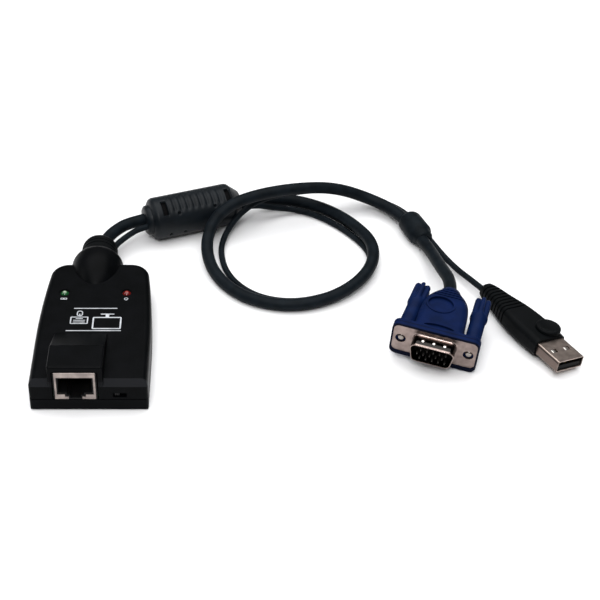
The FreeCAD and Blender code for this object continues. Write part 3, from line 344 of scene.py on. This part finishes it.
def spark_eroded_abs():
    """ABS of the case: near black, with a grain that breaks up highlights and a painted highlight
    that makes the front facet paler.

    The grain is drawn 0.45 mm wide, coarser than the real one, so that it shows.
    """
    material = moulded_polymer("spark_eroded_abs", "#040506", "#07080a", 0.37, 0.45, 0.02, 0.036)
    tree, surface, place = opened(material)
    axes = add(tree, "ShaderNodeSeparateXYZ", Vector=place).outputs
    over = between(tree, axes["Z"], 10.75, 12.95, 0.05)
    ahead = between(tree, axes["Y"], -42.88, -40.85, 0.05)
    # painted highlight: the bevel facet along the front is coloured paler
    recolour(tree, surface, both(tree, over, ahead), "#17181b")
    return material


case_abs = spark_eroded_abs()
choke_pvc = slotted_choke_pvc()
hood_pvc = lipped_hood_pvc()
plug_nickel = drawn_shell_nickel()
usb_nickel = folded_usb_nickel()

finishes = {
    "upper_cover": case_abs,
    "lower_cover": case_abs,
    "circuit_board": board_epoxy,
    "socket_shield": socket_nickel,
    "socket_body": socket_nylon,
    "socket_contacts": contact_gold,
    "link_lamp": green_epoxy,
    "power_lamp": red_epoxy,
    "switch_housing": socket_nylon,
    "switch_knob": knob_acetal,
    "case_screws": screw_nickel,
    "strain_relief": boot_pvc,
    "ferrite_core": ferrite_ceramic,
    "choke_cover": choke_pvc,
    "cable_joiner": cable_pvc,
    "video_hood": hood_pvc,
    "video_shell": plug_nickel,
    "video_insulator": socket_nylon,
    "video_pins": pin_steel,
    "jackscrew_left": turned_nickel,
    "jackscrew_right": turned_nickel,
    "screw_grip_left": grip_abs,
    "screw_grip_right": grip_abs,
    "usb_shell": usb_nickel,
    "usb_tongue": socket_nylon,
    "usb_contacts": contact_gold,
    "usb_plug_body": boot_pvc,
}
for name, finish in finishes.items():
    slots = nodes[name].data.materials
    slots.clear()
    slots.append(finish)


# ---- shapes -----------------------------------------------------------------
def place_piece(name, shape, where, finish, body, stands_for=(), crease=35.0):
    """Piece from a shape in millimetres: faced outwards, put in its place, and riding on a body."""
    bmesh.ops.recalc_face_normals(shape, faces=shape.faces)
    bmesh.ops.transform(shape, matrix=where @ Matrix.Scale(MM, 4), verts=shape.verts)
    for edge in shape.edges:
        edge.smooth = edge.calc_face_angle(math.pi) < math.radians(crease)
    for face in shape.faces:
        face.smooth = True
    mesh = bpy.data.meshes.new(name)
    shape.to_mesh(mesh)
    shape.free()
    mesh.materials.append(finish)
    piece = bpy.data.objects.new(name, mesh)
    bpy.context.scene.collection.objects.link(piece)
    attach(piece, body)
    if stands_for:
        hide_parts(*stands_for)
    return piece


def verts_of(parts):
    """Vertices among the parts that an operator made."""
    return [part for part in parts if isinstance(part, bmesh.types.BMVert)]


def stacked_rings(sides, stations, lobes=0):
    """Closed form of rings up Z, from stations of height, radius and depth of flutes."""
    shape = bmesh.new()
    bmesh.ops.create_circle(shape, segments=sides, radius=1.0)
    ring = shape.verts[:]
    edges = shape.edges[:]
    bmesh.ops.contextual_create(shape, geom=edges)
    for height, radius, depth in stations:
        if height != stations[0][0]:
            grown = bmesh.ops.extrude_edge_only(shape, edges=edges)["geom"]
            ring = verts_of(grown)
            grown_edges = [part for part in grown if isinstance(part, bmesh.types.BMEdge)]
            edges = [edge for edge in grown_edges if set(edge.verts) <= set(ring)]
        for vert in ring:
            angle = math.atan2(vert.co.y, vert.co.x)
            reach = radius - depth * (0.5 + 0.5 * math.cos(lobes * angle)) ** 2
            vert.co = (reach * math.cos(angle), reach * math.sin(angle), height)
    bmesh.ops.contextual_create(shape, geom=edges)
    return shape


# ---- thumbscrew grips -------------------------------------------------------
def thumbscrew_grip(name, side, lean, node, body):
    """Plain sleeve that widens to a knob whose six lobes stand up as a crown at its end."""
    stations = [
        (3.7, 2.5, 0.0),
        (4.1, 2.9, 0.0),
        (18.0, 2.85, 0.0),
        (18.7, 3.2, 0.0),
        (19.1, 3.3, 0.0),
        (20.2, 3.3, 0.0),
        (21.0, 3.3, 0.55),
        (22.0, 3.3, 0.8),
        (26.6, 3.3, 0.95),
        (27.6, 3.28, 1.3),
        (28.4, 3.1, 1.6),
        (28.9, 2.75, 1.5),
        (29.1, 2.3, 1.2),
    ]
    shape = stacked_rings(96, stations, 6)
    along = Matrix.Rotation(math.radians(-90.0), 4, "X")
    tip = Matrix.Rotation(math.radians(lean), 4, "Z")
    where = video_plug @ Matrix.Translation((side * screw_spacing / 2 * MM, 0, 0)) @ tip @ along
    return place_piece(name, shape, where, grip_abs, body, [node], 50.0)


left_grip = thumbscrew_grip("left_lobed_grip", -1, -4.0, "screw_grip_left", "left_thumbscrew")
right_grip = thumbscrew_grip("right_lobed_grip", 1, 0.0, "screw_grip_right", "right_thumbscrew")


# ---- choke ------------------------------------------------------------------
def pulse(value, middle, half, soft):
    """One inside a band, falling to nothing over a soft edge outside it."""
    outside = max(0.0, abs(value - middle) - half)
    return max(0.0, 1.0 - outside / soft) ** 2


def ribbed_choke():
    """Moulding round the ferrite: ribs that fade out, a slot beyond each end, and gate pits."""
    shape = bmesh.new()
    outline = [
        (0.0, -2.6),
        (5.2, -2.6),
        (5.9, -2.0),
        (6.2, -0.5),
        (7.2, -0.3),
        (8.2, 0.5),
        (choke_radius, 1.5),
        (choke_radius, 32.3),
        (8.3, 33.2),
        (7.7, 33.8),
        (4.9, 37.2),
        (0.0, 37.2),
    ]
    verts = [shape.verts.new((radius, y, 0)) for radius, y in outline]
    edges = [shape.edges.new(pair) for pair in zip(verts, verts[1:])]
    bmesh.ops.subdivide_edges(shape, edges=[edges[6]], cuts=150)
    bmesh.ops.spin(
        shape,
        geom=shape.verts[:] + shape.edges[:],
        cent=(0, 0, 0),
        axis=(0, -1, 0),
        angle=2 * math.pi,
        steps=160,
        use_merge=True,
    )
    bmesh.ops.remove_doubles(shape, verts=shape.verts, dist=0.001)
    low, high, pitch = 5.9, 30.5, 24.6 / 9
    pits = [(38.0, low + 1.5 * pitch), (38.0, high - 2.0 * pitch), (-24.0, 6.0), (-24.0, 12.0)]
    for vert in shape.verts:
        radius = math.hypot(vert.co.x, vert.co.z)
        if radius < choke_radius - 0.05:
            continue
        angle = math.degrees(math.atan2(vert.co.z, vert.co.x))
        wave = (0.5 + 0.5 * math.cos(2 * math.pi * (vert.co.y - low) / pitch)) ** 1.6
        ribs = wave * pulse(angle, 72.0, 24.0, 14.0) * pulse(vert.co.y, (low + high) / 2, 11.6, 0.6)
        slots = 0.0
        for middle in (4.6, 31.4):
            slots = max(slots, pulse(vert.co.y, middle, 0.85, 0.3) * pulse(angle, 60.0, 21.0, 3.0))
        pit = 0.0
        for at, y in pits:
            away = math.hypot(math.radians(angle - at) * choke_radius, vert.co.y - y)
            pit = max(pit, pulse(away, 0.0, 0.45, 0.35))
        reach = (radius - max(0.42 * ribs, 1.4 * slots, 0.9 * pit)) / radius
        vert.co.x *= reach
        vert.co.z *= reach
    stands_for = ["choke_cover"]
    return place_piece(
        "choke_moulding", shape, choke_place, choke_pvc, "dongle", stands_for, 60.0
    )


choke_moulding = ribbed_choke()


# ---- joiner -----------------------------------------------------------------
def rounded_joiner():
    """Moulded joiner with chamfered shoulders, and a short spout where the cables part."""
    stations = [
        (0.8, 2.9, 0.0),
        (1.1, 3.2, 0.0),
        (1.9, 4.0, 0.0),
        (2.8, 4.6, 0.0),
        (3.8, 4.85, 0.0),
        (12.6, 4.85, 0.0),
        (13.4, 4.6, 0.0),
        (14.2, 3.95, 0.0),
        (14.4, 3.85, 0.0),
        (16.2, 3.7, 0.0),
        (16.9, 3.35, 0.0),
        (17.1, 3.0, 0.0),
    ]
    shape = stacked_rings(64, stations)
    along = Matrix.Rotation(math.radians(-90.0), 4, "X")
    where = local_frame((121.6, 68.7, 5.0), -69.6 - 90.0) @ along
    return place_piece(
        "joiner_moulding", shape, where, cable_pvc, "dongle", ["cable_joiner"], 60.0
    )


joiner_moulding = rounded_joiner()


# ---- socket tin -------------------------------------------------------------
def socket_tin():
    """Folded tin of the socket: a front frame with its latch slots, and four walls behind it."""
    halves = (tin_half_width, jack_half_opening, latch_half_width, latch_half_narrow)
    across = sorted([-half for half in halves] + list(halves))
    up = [tin_bottom, latch_step_height, jack_floor, jack_opening_top, tin_top]
    shape = bmesh.new()
    columns, rows = len(across) - 1, len(up) - 1
    bmesh.ops.create_grid(shape, x_segments=columns, y_segments=rows, size=1.0)
    for vert in shape.verts:
        column = round((vert.co.x + 1) / 2 * columns)
        row = round((vert.co.y + 1) / 2 * rows)
        vert.co = (across[column], 0, up[row])
    cut = []
    for face in shape.faces:
        middle = face.calc_center_median()
        half = jack_half_opening
        if middle.z < latch_step_height:
            half = latch_half_narrow
        elif middle.z < jack_floor:
            half = latch_half_width
        if abs(middle.x) < half and middle.z < jack_opening_top:
            cut.append(face)
    bmesh.ops.delete(shape, geom=cut, context="FACES")
    rim = []
    for edge in shape.edges:
        ends = [vert.co for vert in edge.verts]
        side = all(abs(end.x) > tin_half_width - 0.01 for end in ends)
        above = all(end.z > tin_top - 0.01 for end in ends)
        below = all(end.z < tin_bottom + 0.01 for end in ends)
        if edge.is_boundary and (side or above or below):
            rim.append(edge)
    walls = bmesh.ops.extrude_edge_only(shape, edges=rim)["geom"]
    bmesh.ops.translate(shape, verts=verts_of(walls), vec=(0, tin_depth, 0))
    bmesh.ops.recalc_face_normals(shape, faces=shape.faces)
    bmesh.ops.bevel(
        shape, geom=rim, offset=0.35, segments=4, profile=0.5, affect="EDGES", material=-1
    )
    bmesh.ops.solidify(shape, geom=shape.faces[:], thickness=tin_sheet)
    where = local_frame((-4.5, -43.05, 0.0), 0.0)
    return place_piece(
        "socket_tin", shape, where, socket_nickel, "dongle", ["socket_shield"], 30.0
    )


socket_tin()


# ---- latch lugs in the USB shell's windows ----------------------------------
def window_lugs():
    """Spring lugs punched from the shell, bent into its windows above and below."""
    shape = bmesh.new()
    for side in (-1, 1):
        for level in (-1, 1):
            lug = bmesh.ops.create_cube(shape, size=1.0)["verts"]
            bmesh.ops.scale(shape, verts=lug, vec=(1.9, 1.7, 0.25))
            free = [vert for vert in lug if vert.co.y < 0]
            bmesh.ops.translate(shape, verts=free, vec=(0, 0, -0.35 * level))
            bmesh.ops.translate(shape, verts=lug, vec=(side * 2.9, 6.35, level * 2.0))
    edges = shape.edges[:]
    bmesh.ops.bevel(
        shape, geom=edges, offset=0.08, segments=2, profile=0.5, affect="EDGES", material=-1
    )
    return place_piece("usb_window_lugs", shape, usb_plug, screw_nickel, "dongle")


lugs = window_lugs()


# ---- printed marks on the case ----------------------------------------------
def flat_mark(shape, x, y, width, height, corner=0.0, line=0.0):
    """Thin patch of ink: a filled or an outlined rectangle with rounded corners."""
    patch = bmesh.new()
    bmesh.ops.create_grid(patch, x_segments=1, y_segments=1, size=0.5)
    bmesh.ops.scale(patch, verts=patch.verts, vec=(width, height, 1))
    if corner:
        bmesh.ops.bevel(
            patch,
            geom=patch.verts[:],
            offset=corner,
            segments=5,
            profile=0.5,
            affect="VERTICES",
            material=-1,
        )
    if line:
        inner = patch.faces[:]
        bmesh.ops.inset_region(
            patch, faces=inner, thickness=line, use_boundary=True, use_even_offset=True
        )
        bmesh.ops.delete(patch, geom=inner, context="FACES")
    grown = bmesh.ops.extrude_face_region(patch, geom=patch.faces[:])["geom"]
    bmesh.ops.translate(patch, verts=verts_of(grown), vec=(0, 0, ink_thickness))
    bmesh.ops.translate(patch, verts=patch.verts, vec=(x, y, case_top - ink_sunk))
    made = bpy.data.meshes.new("ink_patch")
    patch.to_mesh(made)
    patch.free()
    shape.from_mesh(made)
    bpy.data.meshes.remove(made)


def printed_marks():
    """Pictograms, upright from the cables' side: screen, keyboard, mouse, and two lamp signs."""
    shape = bmesh.new()
    flat_mark(shape, 4.6, -10.2, 10.6, 7.0, 0.6, 0.55)
    flat_mark(shape, 4.6, -5.95, 1.3, 1.5)
    flat_mark(shape, 4.6, -5.0, 5.0, 0.5, 0.2)
    flat_mark(shape, -5.6, -8.6, 6.6, 4.2, 0.5, 0.45)
    for row in range(3):
        flat_mark(shape, -5.6, -9.6 + row * 1.0, 4.4 if row < 2 else 2.6, 0.36, 0.1)
    flat_mark(shape, -5.6, -4.6, 2.3, 3.2, 1.1, 0.42)
    flat_mark(shape, -5.6, -5.3, 0.36, 1.0, 0.1)
    flat_mark(shape, 0.0, -1.6, 16.0, 0.42, 0.15)
    flat_mark(shape, 0.0, -14.6, 20.0, 0.42, 0.15)
    flat_mark(shape, -12.9, 4.2, 1.2, 1.0, 0.25, 0.25)
    flat_mark(shape, -11.7, 4.2, 1.2, 1.0, 0.25, 0.25)
    flat_mark(shape, 10.9, 4.1, 1.5, 1.5, 0.7, 0.26)
    flat_mark(shape, 10.9, 3.5, 0.28, 0.9)
    return place_piece("printed_marks", shape, local_frame((0, 0, 0), 0.0), print_ink, "dongle")


printed_marks()


# ---- cables -----------------------------------------------------------------
video_route = [
    (-0.6, 33.5, 9.4),
    (-0.6, 44.2, 9.4),
    (3.2, 52.9, 9.2),
    (10.2, 60.6, 8.8),
    (56.0, 77.0, 8.6),
    (66.5, 81.9, 4.8),
    (78.0, 84.4, 2.6),
    (90.8, 77.3, 2.5),
    (100.4, 65.2, 3.6),
    (107.2, 49.0, 5.4),
    (104.6, 32.2, 5.2),
    (92.2, 18.9, 3.4),
    (74.2, 12.3, 2.5),
    (55.8, 17.2, 2.5),
    (43.8, 31.4, 2.5),
    (39.6, 47.0, 4.8),
    (42.2, 58.0, 10.0),
    (49.4, 62.8, 15.2),
    (61.0, 68.2, 16.6),
    (77.0, 72.8, 16.6),
    (93.2, 79.4, 12.4),
    (108.6, 81.6, 5.0),
    (119.6, 71.2, 4.9),
    (128.5, 47.4, 5.0),
    (130.5, 31.0, 9.0),
    (133.7, 13.1, 12.5),
    (130.6, 3.4, 11.65),
]
usb_route = [
    (2.9, 35.5, 7.0),
    (2.9, 44.2, 7.0),
    (7.8, 51.0, 7.6),
    (14.6, 57.3, 8.5),
    (57.6, 72.8, 8.6),
    (67.4, 76.9, 4.0),
    (77.4, 79.5, 1.4),
    (88.0, 73.7, 1.3),
    (98.4, 62.6, 1.3),
    (106.4, 48.4, 1.3),
    (103.2, 33.6, 1.3),
    (90.2, 22.4, 1.3),
    (74.0, 16.6, 1.3),
    (58.8, 20.6, 1.3),
    (48.6, 33.4, 1.3),
    (45.4, 49.2, 1.7),
    (47.8, 59.2, 4.2),
    (53.4, 66.0, 8.6),
    (62.0, 71.8, 12.0),
    (77.6, 76.6, 12.4),
    (93.6, 83.0, 9.0),
    (109.6, 85.6, 3.0),
    (123.2, 72.7, 4.2),
    (132.4, 47.6, 3.6),
    (138.4, 36.6, 2.6),
    (143.2, 27.6, 3.8),
    (149.2, 16.7, 4.6),
]


def smooth_cable(name, route, radius_mm, finish):
    """Round cable along the smooth line that a route's points pull it into."""
    line = bpy.data.curves.new(name, "CURVE")
    line.dimensions = "3D"
    spline = line.splines.new("NURBS")
    spline.points.add(len(route) - 1)
    for point, (x, y, z) in zip(spline.points, route):
        point.co = (x * MM, y * MM, z * MM, 1.0)
    spline.order_u = 3
    spline.use_endpoint_u = True
    line.resolution_u = 10
    line.bevel_depth = radius_mm * MM
    line.bevel_resolution = 7
    line.use_fill_caps = True
    line.materials.append(finish)
    cable = bpy.data.objects.new(name, line)
    bpy.context.scene.collection.objects.link(cable)
    return cable


video_cable = smooth_cable("video_cable_pvc", video_route, 2.4, cable_pvc)
usb_cable = smooth_cable("usb_cable_pvc", usb_route, 1.2, cable_pvc)
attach(video_cable, "dongle")
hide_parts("video_cable")
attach(usb_cable, "dongle")
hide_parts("usb_cable")
on_video_cable = [choke_moulding, joiner_moulding, left_grip, right_grip]
for name in ("ferrite_core", "video_hood", "video_shell", "video_insulator", "video_pins"):
    on_video_cable.append(nodes[name])
on_video_cable += [nodes["jackscrew_left"], nodes["jackscrew_right"]]
on_usb_cable = [nodes[name] for name in ("usb_shell", "usb_tongue", "usb_contacts", "usb_plug_body")]
on_usb_cable.append(lugs)


# ---- floor, light and camera ------------------------------------------------
def soft_lamp(name, place, target, size, power):
    """Square soft box that looks at a target."""
    light = bpy.data.lights.new(name, "AREA")
    light.size = size
    light.energy = power
    lamp = bpy.data.objects.new(name, light)
    lamp.location = place
    aim = Vector(target) - Vector(place)
    lamp.rotation_euler = aim.to_track_quat("-Z", "Y").to_euler()
    bpy.context.scene.collection.objects.link(lamp)


def make_floor():
    """Pale studio table, faintly mottled so that it isn't one flat colour."""
    shape = bmesh.new()
    bmesh.ops.create_grid(shape, x_segments=1, y_segments=1, size=3.0)
    mesh = bpy.data.meshes.new("studio_floor")
    shape.to_mesh(mesh)
    shape.free()
    floor = bpy.data.objects.new("studio_floor", mesh)
    bpy.context.scene.collection.objects.link(floor)
    material, tree, surface, place = start_material("studio_card")
    tinted(tree, surface, noise(tree, place, 60.0), "#f2f2f3", "#f6f6f7")
    surface.inputs["Roughness"].default_value = 0.8
    mesh.materials.append(material)
    floor.location = (0, 0, -0.0001)


make_floor()
middle = (0.075, 0.03, 0.0)
soft_lamp("key_light", (0.05, 0.15, 1.0), middle, 1.5, 19.0)
soft_lamp("front_light", (0.0, -0.71, 0.87), middle, 0.3, 5.0)
soft_lamp("left_light", (-0.85, 0.1, 0.45), middle, 0.35, 1.2)
world = bpy.data.worlds.new("studio")
world.use_nodes = True
world.node_tree.nodes["Background"].inputs["Color"].default_value = linear("#ffffff")
world.node_tree.nodes["Background"].inputs["Strength"].default_value = 0.12
bpy.context.scene.world = world
bpy.context.scene.view_settings.view_transform = "Standard"

lens_data = bpy.data.cameras.new("studio_camera")
lens_data.lens = 90.0
lens_data.sensor_width = 36.0
lens_data.shift_x = 0.1167
lens_data.clip_start = 0.01
camera = bpy.data.objects.new("studio_camera", lens_data)
camera.location = (0.0495, -0.4356, 0.356)
camera.rotation_euler = (math.radians(52.0), 0.0, 0.0)
bpy.context.scene.collection.objects.link(camera)
bpy.context.scene.camera = camera
